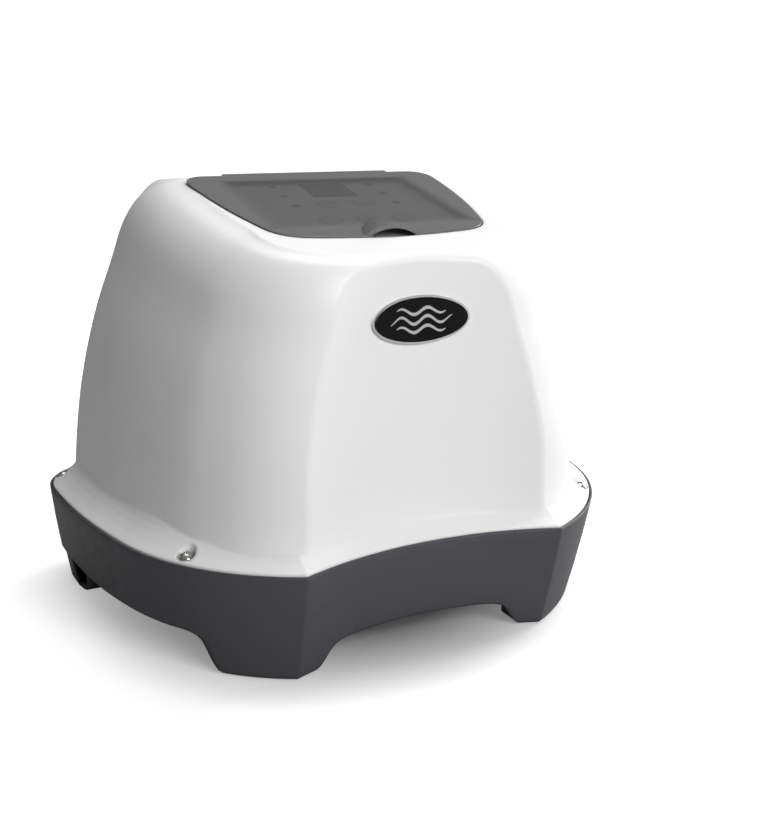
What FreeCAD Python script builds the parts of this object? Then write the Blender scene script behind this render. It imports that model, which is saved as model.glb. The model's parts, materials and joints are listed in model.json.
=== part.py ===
import FreeCAD, Part
import math
import os

V = FreeCAD.Vector

# Control unit for a pool water system: a white moulded dome on a footed grey
# tray, with a smoked flip lid over a sloping key panel.
# Units are millimetres.  +X right, -Y front, +Z up.
# Origin: centre of the footprint box, on the surface the feet stand on.

# ---------------------------------------------------------------- dimensions
RIM_Z = 63.0            # height of the tray's rim plane
RIM_TOP = 63.6          # top of the tray's outer lip
DRAFT_A, DRAFT_B = 0.0908, 0.0007   # wall draft per mm below the rim, linear and square terms
SHEAR = 0.128           # the wall also leans back by this much per mm
FOOT_R = 3.0            # rounding of the feet's lower edge
WALL = 3.0              # moulded wall thickness
# plan outline of the tray at the rim: tangent arcs, left half
FRONT_ARC_CY, FRONT_ARC_R = -297.23, 188.98      # concave front
A_C, A_R, A_ANG = (-20.0, -5.39), 129.53, 194.98  # front corner
B_R, B_ANG = 465.06, 181.84                      # side
C_R = 45.87                                    # rear corner
REAR_Y = 122.75                               # rear of the rim outline
FLOOR_Z0, FLOOR_Z1 = 23.2, 26.2                # tray floor slab
LEDGE_Z = 60.5                                 # seal ledge in the tray
FLANGE_Z = 62.0                                # underside of the dome flange
FLANGE_EDGE = 2.0                              # inset of the flange edge
LIP_T = 1.0                                    # thickness of the tray's outer lip
FLANGE = ((2.0, 64.3), (7.5, 67.6), (11.5, 70.6), (14.5, 73.6), (16.6, 77.0), (17.6, 80.0))
# dome wall
DOME_INSET = 12.051     # wall foot behind the rim
DOME_CORNER = 4.5       # the front corners stand this much further out
FOOT = dict(xA=-46.0, yA=-29.2, RA=94.4, RB=380.0, RC=37.0, RD=903.3, pA=201.0, pB=180.0)
TOP = dict(xA=-25.22, yA=-37.335, RA=61.269, RB=307.278, RC=24.745, RD=350.0)
T_Z = (60.0, 75.0, 110.0, 150.0, 190.0, 235.0, 260.0)
T_FRONT = (0.021, 0.051, 0.124, 0.291, 0.59, 1.0, 1.228)     # sideways taper of the front half
T_DEPTH = (0.045, 0.075, 0.085, 0.35, 0.672, 1.0, 1.182)     # fore and aft taper of the front half
T_REAR = (0.04, 0.07, 0.166, 0.338, 0.592, 1.0, 1.227)       # taper of the rear half
SH_D = (15.039, 10.012, 6.08)    # shoulder drop below the top plane: side, rear, extra at the rear corner
SH_F = (0.228, 0.245, 0.10, 0.06)    # shoulder reach: side, rear, front, extra at the rear corner
SH_CY, SH_TEN = -8.0, 0.495
CROWN_Y, CROWN_R, CROWN_END = 43.0, 45.0, -0.12    # the top rolls over towards the rear
RECESS_CY, RECESS_R = -250.5, 155.0            # vertical concave front recess
CREST_R = 4.5                                  # rounding of the recess crest
# sloping top plane
SLOPE = 0.221
TOP_Y, TOP_Z = -38.6, 225.2
TH = math.atan(SLOPE)
COS, SIN = math.cos(TH), math.sin(TH)
# lid, heights measured along the top plane's normal
LID_DROP = 1.2          # the lid and panel sit this much lower than the top plane
LID_T0, LID_T1 = 0.1, 1.8
FASCIA_T0, FASCIA_T1 = -3.2, -0.9
KEY_TOP = -0.5
POCKET_GAP = 0.9
LID_FRONT_V = (-68.6 - TOP_Y) / COS
LID_REAR_V = (47.71 - TOP_Y) / COS
HINGE_V, HINGE_N = LID_REAR_V + 2.5, -1.6
PIN_R, BARREL_R, BARREL_BORE_R = 1.5, 2.8, 1.55
TAB_X = 53.0
PIN_HALF = 60.0
KEY_R, KEY_TRAVEL = 7.0, 0.6
MID_U = 2.0             # the panel's graphics stand this much right of the middle
KEYS = (("power", MID_U - 22.0, 5.0), ("timer", MID_U, 5.0), ("boost", MID_U + 22.0, 5.0),
        ("clean", MID_U - 11.0, 34.5), ("lock", MID_U + 11.0, 34.5))
PIPES = tuple((MID_U + sx * 31.0, v) for sx in (-1, 1) for v in (33.7, 52.6, 71.5))
DISP_U, DISP_V, DISP_W, DISP_H = MID_U, 62.5, 28.0, 28.0
BOARD_N = -12.0
# screws holding the dome to the tray
SCREWS = ((-120.0, -76.0), (120.0, -76.0), (-150.3, 83.2), (150.3, 83.2))
SEAT_Z = 65.2
SHANK_R = 2.0
# badge
BADGE_Z, BADGE_W, BADGE_H = 179.5, 55.0, 25.0
# rear lead glands: name, x, z, bore radius
PANEL_Y = 109.0
GLANDS = (("mains_gland", -34.0, 41.0, 3.6), ("cell_lead_gland", 4.0, 41.0, 3.6),
          ("sensor_lead_gland", 36.0, 41.0, 2.3))

os.makedirs("parts", exist_ok=True)
NODES = {}


def rad(a):
    return math.radians(a)


# ---------------------------------------------------------------- primitives
def box(x0, x1, y0, y1, z0, z1):
    return Part.makeBox(x1 - x0, y1 - y0, z1 - z0, V(x0, y0, z0))


def cyl(x, y, z0, z1, r):
    return Part.makeCylinder(r, z1 - z0, V(x, y, z0), V(0, 0, 1))


def cylx(x0, x1, y, z, r):
    return Part.makeCylinder(r, x1 - x0, V(x0, y, z), V(1, 0, 0))


def cyly(x, y0, y1, z, r):
    return Part.makeCylinder(r, y1 - y0, V(x, y0, z), V(0, 1, 0))


def fuse(shapes):
    s = shapes[0]
    if len(shapes) > 1:
        s = s.fuse(shapes[1:])
    return s.removeSplitter()


def cut(a, tools):
    return a.cut(tools) if tools else a


def group(shapes):
    return Part.makeCompound(shapes)


def tilt(shape):
    """from the panel's own frame (u, v, n) to the unit's frame"""
    s = shape.copy()
    s.Placement = FreeCAD.Placement(V(0, TOP_Y + LID_DROP * SIN, TOP_Z - LID_DROP * COS), FreeCAD.Rotation(V(1, 0, 0), math.degrees(TH)))
    return s


def prism_xy(pts, z0, z1):
    w = Part.makePolygon([V(x, y, z0) for x, y in pts] + [V(pts[0][0], pts[0][1], z0)])
    return Part.Face(w).extrude(V(0, 0, z1 - z0))


def spline_face(pts, closed=True):
    c = Part.BSplineCurve()
    c.interpolate(pts, PeriodicFlag=closed)
    return Part.Face(Part.Wire([c.toShape()]))


def hexprism(x, y, z0, z1, af, axis="z"):
    r = af / math.sqrt(3.0)
    p = [(r * math.cos(rad(60 * k + 30)), r * math.sin(rad(60 * k + 30))) for k in range(6)]
    if axis == "z":
        w = Part.makePolygon([V(x + a, y + b, z0) for a, b in p + p[:1]])
        return Part.Face(w).extrude(V(0, 0, z1 - z0))
    w = Part.makePolygon([V(x + a, z0, y + b) for a, b in p + p[:1]])
    return Part.Face(w).extrude(V(0, z1 - z0, 0))


# ---------------------------------------------------------------- tray outline
def rear_radius():
    xc = A_C[0] + (A_R - B_R) * math.cos(rad(A_ANG)) + (B_R - C_R) * math.cos(rad(B_ANG))
    yc = A_C[1] + (A_R - B_R) * math.sin(rad(A_ANG)) + (B_R - C_R) * math.sin(rad(B_ANG))
    lo, hi = 300.0, 3000.0
    for _ in range(80):
        m = 0.5 * (lo + hi)
        y = yc + m - math.sqrt((m - C_R) ** 2 - xc * xc)
        if y > REAR_Y:
            lo = m
        else:
            hi = m
    return m, xc, yc


D_R, C_X, C_Y = rear_radius()
D_Y = REAR_Y - D_R
B_X = A_C[0] + (A_R - B_R) * math.cos(rad(A_ANG))
B_Y = A_C[1] + (A_R - B_R) * math.sin(rad(A_ANG))
C_ANG = math.degrees(math.atan2(C_Y - D_Y, C_X))


def crease(g):
    """corner where the concave front meets the side outline, at inset g"""
    r0, r1 = FRONT_ARC_R + g, A_R - g
    lo, hi = 20.0, 110.0
    for _ in range(60):
        x = 0.5 * (lo + hi)
        y = FRONT_ARC_CY + math.sqrt(r0 * r0 - x * x)
        d = math.hypot(-x - A_C[0], y - A_C[1]) - r1
        # outside the corner circle when too far forward
        if d > 0:
            hi = x
        else:
            lo = x
    return x, y


def outline(g, z):
    cx, cy = crease(g)
    rA, rB, rC, rD = A_R - g, B_R - g, C_R - g, D_R - g

    lean = SHEAR * max(0.0, RIM_Z - max(z, 0.0))

    def at(c, r, a):
        return V(c[0] + r * math.cos(rad(a)), c[1] + r * math.sin(rad(a)) + lean, z)

    cA, cB, cC, cD = A_C, (B_X, B_Y), (C_X, C_Y), (0.0, D_Y)
    a0 = math.degrees(math.atan2(cy - cA[1], -cx - cA[0])) % 360.0
    left = [(at(cA, rA, a0), at(cA, rA, 0.5 * (a0 + A_ANG)), at(cA, rA, A_ANG)),
            (at(cA, rA, A_ANG), at(cB, rB, 0.5 * (A_ANG + B_ANG)), at(cB, rB, B_ANG)),
            (at(cB, rB, B_ANG), at(cC, rC, 0.5 * (B_ANG + C_ANG)), at(cC, rC, C_ANG))]
    mx = lambda p: V(-p.x, p.y, p.z)
    e = [Part.Arc(mx(left[0][0]), V(0, FRONT_ARC_CY + FRONT_ARC_R + g + lean, z), left[0][0]).toShape()]
    for a, b, c in left:
        e.append(Part.Arc(a, b, c).toShape())
    e.append(Part.Arc(left[2][2], V(0, D_Y + rD + lean, z), mx(left[2][2])).toShape())
    for a, b, c in reversed(left):
        e.append(Part.Arc(mx(c), mx(b), mx(a)).toShape())
    return Part.Wire(e)


def ruled(g0, z0, g1, z1):
    return Part.makeLoft([outline(g0, z0), outline(g1, z1)], True, True)


def draft(z, extra=0.0):
    z = max(z, 0.0)
    h = max(0.0, RIM_Z - z)
    g = DRAFT_A * h + DRAFT_B * h * h + extra
    if z < FOOT_R:
        g += FOOT_R - math.sqrt(FOOT_R ** 2 - (FOOT_R - z) ** 2)
    return g


def tray_solid(z0, z1, extra=0.0):
    zs = [z0] + [z for z in (0.0, 0.4, 1.3, FOOT_R, 22.0, 43.0, RIM_Z) if z0 + 0.2 < z < z1 - 0.2] + [z1]
    return Part.makeLoft([outline(draft(z, extra), z) for z in zs], True, True)


def flange_solid():
    prof = [(FLANGE_EDGE, FLANGE_Z)] + list(FLANGE)
    return Part.makeLoft([outline(g, z) for g, z in prof], True, True)


# ---------------------------------------------------------------- foot profiles
FR_HALF = [(66.0, 0.0), (61.8, 1.2), (58.2, 4.6), (55.2, 9.3), (51.4, 14.0), (45.0, 16.4), (30.0, 17.2), (12.0, 17.6)]
SIDE_PROF = [(-82.6, 0.0), (-80.9, 5.5), (-80.3, 12.0), (-80.0, 18.0), (-78.6, 22.4), (-75.0, 24.4), (-67.0, 24.9),
             (-52.0, 25.0), (-28.0, 24.5), (-12.8, 23.9), (2.0, 23.5), (14.0, 23.5), (26.0, 23.7), (38.0, 23.9),
             (45.0, 23.9), (49.5, 23.0), (51.6, 20.0), (52.2, 14.0), (52.4, 6.0), (53.2, 1.6), (55.5, 0.0)]
REAR_FOOT_STEP = 1.6    # the rear feet stand in from the skirt above them
REAR_FOOT_X, REAR_FOOT_Y, REAR_FOOT_R = 148.8, 52.0, 9.0


def gap_face(prof, mk, below=2.0):
    pts = [mk(a, z) for a, z in prof]
    c = Part.BSplineCurve()
    c.interpolate(pts)
    a, b = pts[0], pts[-1]
    a0, b0 = mk(prof[0][0], -below), mk(prof[-1][0], -below)
    return Part.Face(Part.Wire([c.toShape(), Part.makeLine(b, b0), Part.makeLine(b0, a0), Part.makeLine(a0, a)]))


def front_gap():
    prof = [(-x, z) for x, z in FR_HALF] + [(x, z) for x, z in reversed(FR_HALF)]
    f = gap_face(prof, lambda a, z: V(a, -140, z))
    return f.extrude(V(0, 280, 0))


def side_gap():
    f = gap_face(SIDE_PROF, lambda a, z: V(-180, a, z))
    return f.extrude(V(360, 0, 0)).cut(tray_solid(FLOOR_Z0, 34.0, WALL))


def rear_skirt():
    """what is taken off below the skirt's edge at the rear, so that the rear feet stand in"""
    ring_ = tray_solid(-2.0, 23.9, -3.0).cut(tray_solid(-3.0, 25.0, REAR_FOOT_STEP))
    ring_ = ring_.common(box(-220, 220, 46, 220, -5, 23.9))
    out = [ring_]
    cx, cy, r = REAR_FOOT_X - REAR_FOOT_R, REAR_FOOT_Y + REAR_FOOT_R, REAR_FOOT_R
    for sx in (-1, 1):
        b = box(min(sx * cx, sx * 175), max(sx * cx, sx * 175), 44, cy, -2, 23.2)
        out.append(b.cut(cyl(sx * cx, cy, -3, 24, r)))
    return out


# ---------------------------------------------------------------- dome grid
def pchip(xs, ys):
    n = len(xs)
    h = [xs[i + 1] - xs[i] for i in range(n - 1)]
    d = [(ys[i + 1] - ys[i]) / h[i] for i in range(n - 1)]
    m = [0.0] * n
    for i in range(1, n - 1):
        if d[i - 1] * d[i] > 0:
            w1, w2 = 2 * h[i] + h[i - 1], h[i] + 2 * h[i - 1]
            m[i] = (w1 + w2) / (w1 / d[i - 1] + w2 / d[i])
    m[0], m[-1] = d[0], d[-1]

    def f(x):
        x = min(max(x, xs[0]), xs[-1])
        k = 0
        while k < n - 2 and x > xs[k + 1]:
            k += 1
        t = (x - xs[k]) / h[k]
        return ((1 + 2 * t) * (1 - t) ** 2 * ys[k] + t * (1 - t) ** 2 * h[k] * m[k]
                + t * t * (3 - 2 * t) * ys[k + 1] + t * t * (t - 1) * h[k] * m[k + 1])
    return f


def half_chain(xA, yA, RA, RB, RC, RD, pA=201.0, pB=180.0, ns=(3, 8, 6, 9, 4)):
    cA = (xA, yA)
    cB = (xA + (RA - RB) * math.cos(rad(pA)), yA + (RA - RB) * math.sin(rad(pA)))
    cC = (cB[0] + (RB - RC) * math.cos(rad(pB)), cB[1] + (RB - RC) * math.sin(rad(pB)))
    pC = math.degrees(math.acos(cC[0] / (RD - RC)))
    cD = (0.0, cC[1] - (RD - RC) * math.sin(rad(pC)))
    P, N = [], []
    for k in range(ns[0]):
        P.append((xA * k / ns[0], yA - RA))
        N.append((0.0, -1.0))
    segs = ((cA, RA, 270.0, pA, ns[1]), (cB, RB, pA, pB, ns[2]), (cC, RC, pB, pC, ns[3]), (cD, RD, pC, 90.0, ns[4]))
    for s, (c, R, a, b, n) in enumerate(segs):
        for k in range(n + (1 if s == 3 else 0)):
            t = rad(a + (b - a) * k / n)
            P.append((c[0] + R * math.cos(t), c[1] + R * math.sin(t)))
            N.append((math.cos(t), math.sin(t)))
    return P, N


def smooth(q):
    q = min(max(q, 0.0), 1.0)
    return q * q * (3 - 2 * q)


def dome_rows(inset, drop, z_low, nz=7):
    """rows of points of the dome skin, inset inward and dropped below the top plane"""
    RP, N = half_chain(**FOOT)
    TP, _ = half_chain(**TOP)
    ff, fd, fr = pchip(T_Z, T_FRONT), pchip(T_Z, T_DEPTH), pchip(T_Z, T_REAR)
    n = len(RP)
    R = []
    for p, q in zip(RP, N):
        g = DOME_INSET - DOME_CORNER * smooth((-q[1] - 0.55) / 0.4) + inset
        R.append((p[0] - g * q[0], p[1] - g * q[1]))
    T = [(p[0] - inset * q[0], p[1] - inset * q[1]) for p, q in zip(TP, N)]
    zt = lambda y: TOP_Z + SLOPE * (y - TOP_Y) - drop / COS

    def W(z, i):
        w = smooth(0.5 - N[i][1] / 0.9)
        t = ff(z) * w + fr(z) * (1 - w)
        u = fd(z) * w + fr(z) * (1 - w)
        return V((1 - t) * R[i][0] + t * T[i][0], (1 - u) * R[i][1] + u * T[i][1], z)

    cen = V(0, SH_CY, zt(SH_CY))
    P0, K, P3 = [], [], []
    for i in range(n):
        z = 235.0
        for _ in range(12):
            z = zt(W(z, i).y)
        k = W(z, i)
        qr, qf = smooth((N[i][1] - 0.1) / 0.8), smooth((-N[i][1] - 0.1) / 0.8)
        cb = 4 * qr * (1 - qr)
        f = SH_F[0] + (SH_F[1] - SH_F[0]) * qr + (SH_F[2] - SH_F[0]) * qf + SH_F[3] * cb
        d = SH_D[0] + (SH_D[1] - SH_D[0]) * qr + SH_D[2] * cb
        P0.append(W(z - d, i))
        K.append(k)
        P3.append(k + (cen - k) * f)
    rows = [[W(z_low, i) for i in range(n)]]
    z0 = 75.0
    for j in range(nz):
        u = j / (nz - 1.0)
        rows.append([W(z0 + (P0[i].z - z0) * u, i) for i in range(n)])
    for s in (0.3, 0.65, 1.0):
        row = []
        for i in range(n):
            B1 = P0[i] + (K[i] - P0[i]) * SH_TEN
            B2 = P3[i] + (K[i] - P3[i]) * SH_TEN
            row.append(P0[i] * (1 - s) ** 3 + B1 * (3 * (1 - s) ** 2 * s) + B2 * (3 * (1 - s) * s * s) + P3[i] * s ** 3)
        rows.append(row)
    full = []
    for r in rows:
        full.append(r + [V(-p.x, p.y, p.z) for p in reversed(r[1:-1])])
    return full


def dome_solid(inset, drop, z_low):
    rows = dome_rows(inset, drop, z_low)
    mid = rows[3]
    par = [0.0]
    for k in range(len(mid)):
        par.append(par[-1] + mid[k].distanceToPoint(mid[(k + 1) % len(mid)]))
    wires = []
    for r in rows:
        c = Part.BSplineCurve()
        c.interpolate(Points=r, PeriodicFlag=True, Parameters=par)
        wires.append(Part.Wire([c.toShape()]))
    return Part.makeLoft(wires, True, False)


def crown_cut(depth):
    """what is above the rolled rear of the top, lowered by depth"""
    a0 = TH - 0.03
    z0 = TOP_Z + SLOPE * (CROWN_Y - TOP_Y)
    cy, cz = CROWN_Y + CROWN_R * math.sin(a0), z0 - CROWN_R * math.cos(a0)

    def at(a):
        return V(-190, cy - CROWN_R * math.sin(a), cz + CROWN_R * math.cos(a) - depth)
    a1 = CROWN_END
    p0, pm, p1 = at(a0), at(0.5 * (a0 + a1)), at(a1)
    p2 = V(-190, p1.y + 70.0, p1.z + math.tan(a1) * 70.0)
    p3, p4 = V(-190, p2.y, 320.0), V(-190, p0.y, 320.0)
    w = Part.Wire([Part.Arc(p0, pm, p1).toShape(), Part.makeLine(p1, p2), Part.makeLine(p2, p3),
                   Part.makeLine(p3, p4), Part.makeLine(p4, p0)])
    return Part.Face(w).extrude(V(380, 0, 0))


def recess_cyl(r):
    return Part.makeCylinder(r, 260.0, V(0, RECESS_CY, 40.0), V(0, 0, 1))


# ---------------------------------------------------------------- lid outline
LID_ARCS = (((0.0, 185.24), 253.84, -90.0, -79.55, 7), ((41.99, -42.41), 22.35, -79.55, -16.71, 12),
            ((-276.8, 53.3), 355.19, -16.71, -2.98, 12), ((65.67, 35.46), 12.25, -2.98, 90.0, 10))


def lid_half(off):
    pts = []
    for (c, R, a, b, n) in LID_ARCS:
        for k in range(n + (1 if c == LID_ARCS[-1][0] else 0)):
            t = rad(a + (b - a) * k / n)
            x, y = c[0] + (R + off) * math.cos(t), c[1] + (R + off) * math.sin(t)
            pts.append((x, (y - TOP_Y) / COS))
    return pts


def lid_prism(off, n0, n1, rear=None):
    """prism of the lid outline in the panel frame, offset outward, optionally cut at a rear y"""
    h = lid_half(off)
    right = h[1:]
    pts = [V(-x, v, n0) for x, v in reversed(right)] + [V(h[0][0], h[0][1], n0)] + [V(x, v, n0) for x, v in right]
    c = Part.BSplineCurve()
    c.interpolate(pts)
    w = Part.Wire([c.toShape(), Part.makeLine(pts[-1], pts[0])])
    s = Part.Face(w).extrude(V(0, 0, n1 - n0))
    if rear is not None:
        s = s.cut(box(-120, 120, (rear - TOP_Y) / COS, 400, n0 - 5, n1 + 5))
    return s


def ellipsoid(c, a, b, h):
    s = Part.makeSphere(1.0)
    m = FreeCAD.Matrix()
    m.scale(V(a, b, h))
    s = s.transformGeometry(m)
    s.translate(c)
    return s


# ================================================================ tray
def make_tray():
    body = tray_solid(0.0, RIM_TOP)
    # walls, foot wells and lip
    foot_keep = [box(-64, 64, -200, 200, -5, FLOOR_Z1), box(-220, 220, -88, 55, -5, FLOOR_Z1)]
    well = tray_solid(3.0, 57.0, WALL)
    well = well.cut(fuse(foot_keep))
    neck = ruled(draft(57.0, WALL + 3.2), 56.99, draft(LEDGE_Z, WALL + 3.2), LEDGE_Z + 0.01)
    lip = ruled(draft(LEDGE_Z, LIP_T), LEDGE_Z, draft(70.0, LIP_T), 70.0)
    under = tray_solid(-2.0, FLOOR_Z0, WALL)
    under = under.common(fuse([box(-61, 61, -200, 200, -5, FLOOR_Z0), box(-220, 220, -85, 52, -5, FLOOR_Z0)]))
    body = body.cut([well, neck, lip])
    body = body.cut([under, front_gap(), side_gap()] + rear_skirt())
    # rear connector panel: thick block inside, pocket outside
    body = body.fuse(box(-55, 55, PANEL_Y - 3.0, 140.0, 25.0, 57.0).common(tray_solid(20.0, 60.0, 0.5)))
    pocket = box(-52, 52, PANEL_Y, 140, 28.0, 54.0)
    body = body.cut(pocket)
    # screw bosses
    for (x, y) in SCREWS:
        zb = FLOOR_Z1 - 0.5 if abs(y) < 80 else 20.0
        b = cyl(x, y, zb, LEDGE_Z, 4.1).common(tray_solid(3.0, LEDGE_Z, 1.0))
        body = body.fuse(b)
    for (x, y) in SCREWS:
        body = body.cut(cyl(x, y, 44.0, LEDGE_Z + 1, SHANK_R + 0.05))
    for (_, x, z, r) in GLANDS:
        body = body.cut(cyly(x, PANEL_Y - 8, PANEL_Y + 5, z, r + 3.05))
    # floor vents, pilot holes
    holes = []
    for k in range(5):
        for xc in (-84.0, 63.0):
            holes.append(box(xc - 16, xc + 16, -74 + 9 * k, -71 + 9 * k, 20, 30))
    for (x, y) in XF_SCREWS:
        holes.append(cyl(x, y, 23.7, 30, 1.95))
    for (x, y) in STANDOFFS:
        holes.append(cyl(x, y, 23.7, 30, 1.5))
    body = body.cut(holes)
    return body.removeSplitter()


XF_C = (-44.0, 0.0)
XF_SCREWS = ((XF_C[0] - 40.0, 0.0), (XF_C[0] + 40.0, 0.0))
STANDOFFS = ((20.0, -56.0), (106.0, -56.0), (20.0, 52.0), (106.0, 52.0))
PCB = (12.0, 114.0, -62.0, 58.0, 34.2, 35.8)


# ================================================================ dome
def make_dome():
    outer = dome_solid(0.0, 0.0, 66.0).cut(crown_cut(0.0))
    outer = outer.cut(recess_cyl(RECESS_R))
    try:
        edges = []
        for e in outer.Edges:
            b = e.BoundBox
            if b.YMax < -60 and b.ZMin > 64 and b.ZLength > 60:
                edges.append(e)
        f = outer.makeFillet(CREST_R, edges)
        if f.isValid() and f.Volume > 0.98 * outer.Volume:
            outer = f
    except Exception:
        pass
    flange = flange_solid()
    outer = outer.fuse(flange)
    inner = dome_solid(WALL, WALL, 60.0).cut(crown_cut(WALL)).cut(recess_cyl(RECESS_R + WALL))
    low = ruled(6.4, FLANGE_Z - 1.0, 16.2, 71.0)
    # the pocket block stays solid
    block = tilt(fuse([lid_prism(POCKET_GAP + 3.2, -7.2, 30.0),
                       box(-61, 61, 78.0, HINGE_V + 9.0, -8.4, 30.0),
                       box(-20, 20, LID_FRONT_V - 12.0, LID_FRONT_V + 5.0, -8.0, 30.0)]))
    inner = inner.cut(block)
    dome = outer.cut([inner, low])
    # lid pocket, fascia ledge, hinge trough
    pocket = tilt(lid_prism(POCKET_GAP, FASCIA_T0, 40.0))
    opening = tilt(lid_prism(-6.0, -30.0, 10.0, rear=39.5))
    trough = tilt(box(-TAB_X - 2.5, TAB_X + 2.5, HINGE_V - 4.6, HINGE_V + 6.0, -5.4, 40.0))
    pin = tilt(cylx(-PIN_HALF - 0.1, PIN_HALF + 0.1, HINGE_V, HINGE_N, PIN_R + 0.02))
    dome = dome.cut([pocket, opening, trough, pin])
    # finger scoop in the lip in front of the lid
    dome = dome.cut(tilt(ellipsoid(V(0, LID_FRONT_V + 1.5, 1.6), 16.8, 10.6, 6.4)))
    # screw seats
    for (x, y) in SCREWS:
        dome = dome.fuse(cyl(x, y, FLANGE_Z, 80.0, 5.6).common(flange))
    for (x, y) in SCREWS:
        dome = dome.cut([cyl(x, y, SEAT_Z, 90.0, 4.9), cyl(x, y, 55.0, 90.0, SHANK_R + 0.2)])
    return dome.removeSplitter()


def make_seal():
    a = ruled(1.3, LEDGE_Z, 1.3, FLANGE_Z)
    return a.cut(ruled(4.45, LEDGE_Z - 1, 4.45, FLANGE_Z + 1))


# ---------------------------------------------------------------- fasteners
def pan_screw(x, y, seat, shank_r, tip, head_r, head_h):
    h = Part.makeCylinder(head_r, head_h, V(x, y, seat))
    dome = Part.makeSphere(head_r * 1.35, V(x, y, seat + head_h - head_r * 1.35))
    h = h.common(dome)
    cross = [box(x - 0.55, x + 0.55, y - head_r * 0.55, y + head_r * 0.55, seat + head_h - 1.3, seat + head_h + 1),
             box(x - head_r * 0.55, x + head_r * 0.55, y - 0.55, y + 0.55, seat + head_h - 1.3, seat + head_h + 1)]
    return fuse([h, cyl(x, y, tip, seat + 0.3, shank_r)]).cut(cross)


def ring(x, y, z0, z1, ro, ri):
    return cyl(x, y, z0, z1, ro).cut(cyl(x, y, z0 - 1, z1 + 1, ri))


# ---------------------------------------------------------------- badge
def badge_body(w, h, r_in, r_out):
    """oval slice of a vertical tube wall"""
    e = Part.Ellipse(V(0, 0, 0), w / 2.0, h / 2.0)
    f = Part.Face(Part.Wire([e.toShape()]))
    f.rotate(V(0, 0, 0), V(1, 0, 0), 90)
    s = f.extrude(V(0, 60, 0))
    s.translate(V(0, -130, BADGE_Z))
    tube = Part.makeCylinder(r_out, 80, V(0, RECESS_CY, BADGE_Z - 40)).cut(
        Part.makeCylinder(r_in, 82, V(0, RECESS_CY, BADGE_Z - 41)))
    return s.common(tube)


def make_badge():
    plate = badge_body(BADGE_W - 2.4, BADGE_H - 2.4, RECESS_R - 2.2, RECESS_R)
    rim = badge_body(BADGE_W, BADGE_H, RECESS_R - 1.7, RECESS_R).cut(
        badge_body(BADGE_W - 2.4, BADGE_H - 2.4, RECESS_R - 3, RECESS_R + 1))
    waves = []
    for k, amp in ((-1, 2.0), (0, 2.4), (1, 2.0)):
        z0 = BADGE_Z + 4.6 * k
        half = 17.5 - 3.5 * abs(k)
        up, dn = [], []
        for j in range(25):
            x = -half + 2 * half * j / 24.0
            w = 0.75 * math.sin(math.pi * j / 24.0) ** 0.5 + 0.12
            zc = z0 + amp * 0.8 * math.sin(2 * math.pi * x / 15.0)
            up.append(V(x, -130, zc + w))
            dn.append(V(x, -130, zc - w))
        cu, cd = Part.BSplineCurve(), Part.BSplineCurve()
        cu.interpolate(up)
        cd.interpolate(dn)
        wv = Part.Wire([cu.toShape(), Part.makeLine(up[-1], dn[-1]), cd.toShape(), Part.makeLine(dn[0], up[0])])
        s = Part.Face(wv).extrude(V(0, 60, 0))
        tube = Part.makeCylinder(RECESS_R - 2.2, 80, V(0, RECESS_CY, BADGE_Z - 40)).cut(
            Part.makeCylinder(RECESS_R - 2.5, 82, V(0, RECESS_CY, BADGE_Z - 41)))
        waves.append(s.common(tube))
    return plate, rim, group(waves)


# ---------------------------------------------------------------- panel parts (panel frame)
POSTS = ((-41.0, -5.0), (41.0, -5.0), (-41.0, 73.0), (41.0, 73.0))


def make_fascia():
    f = lid_prism(-0.1, FASCIA_T0, FASCIA_T1, rear=43.6)
    for (u, v) in POSTS:
        f = f.fuse(cyl(u, v, BOARD_N, FASCIA_T0 + 0.5, 3.0))
    f = f.cut([cyl(u, v, -20, FASCIA_T0 - 0.6, 1.3) for (u, v) in POSTS])
    f = f.cut([cyl(u, v, -5, 5, KEY_R + 0.2) for (_, u, v) in KEYS])
    f = f.cut([cyl(u, v, -5, 5, 2.55) for (u, v) in PIPES])
    f = f.cut(box(DISP_U - DISP_W / 2 - 0.1, DISP_U + DISP_W / 2 + 0.1, DISP_V - DISP_H / 2 - 0.1,
                  DISP_V + DISP_H / 2 + 0.1, -5, 5))
    return f.removeSplitter()


def make_key(u, v):
    cap = cyl(u, v, FASCIA_T0 - 0.35, KEY_TOP, KEY_R)
    try:
        top = [e for e in cap.Edges if abs(e.BoundBox.ZMin - KEY_TOP) < 1e-3 and e.BoundBox.ZLength < 1e-3]
        cap = cap.makeFillet(0.35, top)
    except Exception:
        pass
    flange = cyl(u, v, FASCIA_T0 - 1.5, FASCIA_T0 - 0.35, KEY_R + 1.5)
    stem = cyl(u, v, -7.5, FASCIA_T0 - 1.4, 3.0)
    web = [box(u - 5.5, u + 5.5, v - 0.5, v + 0.5, -6.0, FASCIA_T0 - 1.4),
           box(u - 0.5, u + 0.5, v - 5.5, v + 5.5, -6.0, FASCIA_T0 - 1.4)]
    return fuse([cap, flange, stem] + web)


def make_tact(u, v):
    b = box(u - 3.0, u + 3.0, v - 3.0, v + 3.0, BOARD_N, -8.6)
    b = b.cut(cyl(u, v, -10.9, -5, 1.8))
    pads = [box(u + sx * 3.0 - 0.9, u + sx * 3.0 + 0.9, v + sy * 2.2 - 0.35, v + sy * 2.2 + 0.35, BOARD_N, BOARD_N + 0.5)
            for sx in (-1, 1) for sy in (-1, 1)]
    return fuse([b] + pads)


VISOR = ((0.0, 17.0, 5.0), (7.0, 15.8, 4.5), (14.0, 12.6, 3.0), (20.0, 8.5, 1.45), (25.0, 5.0, 0.5))


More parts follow.
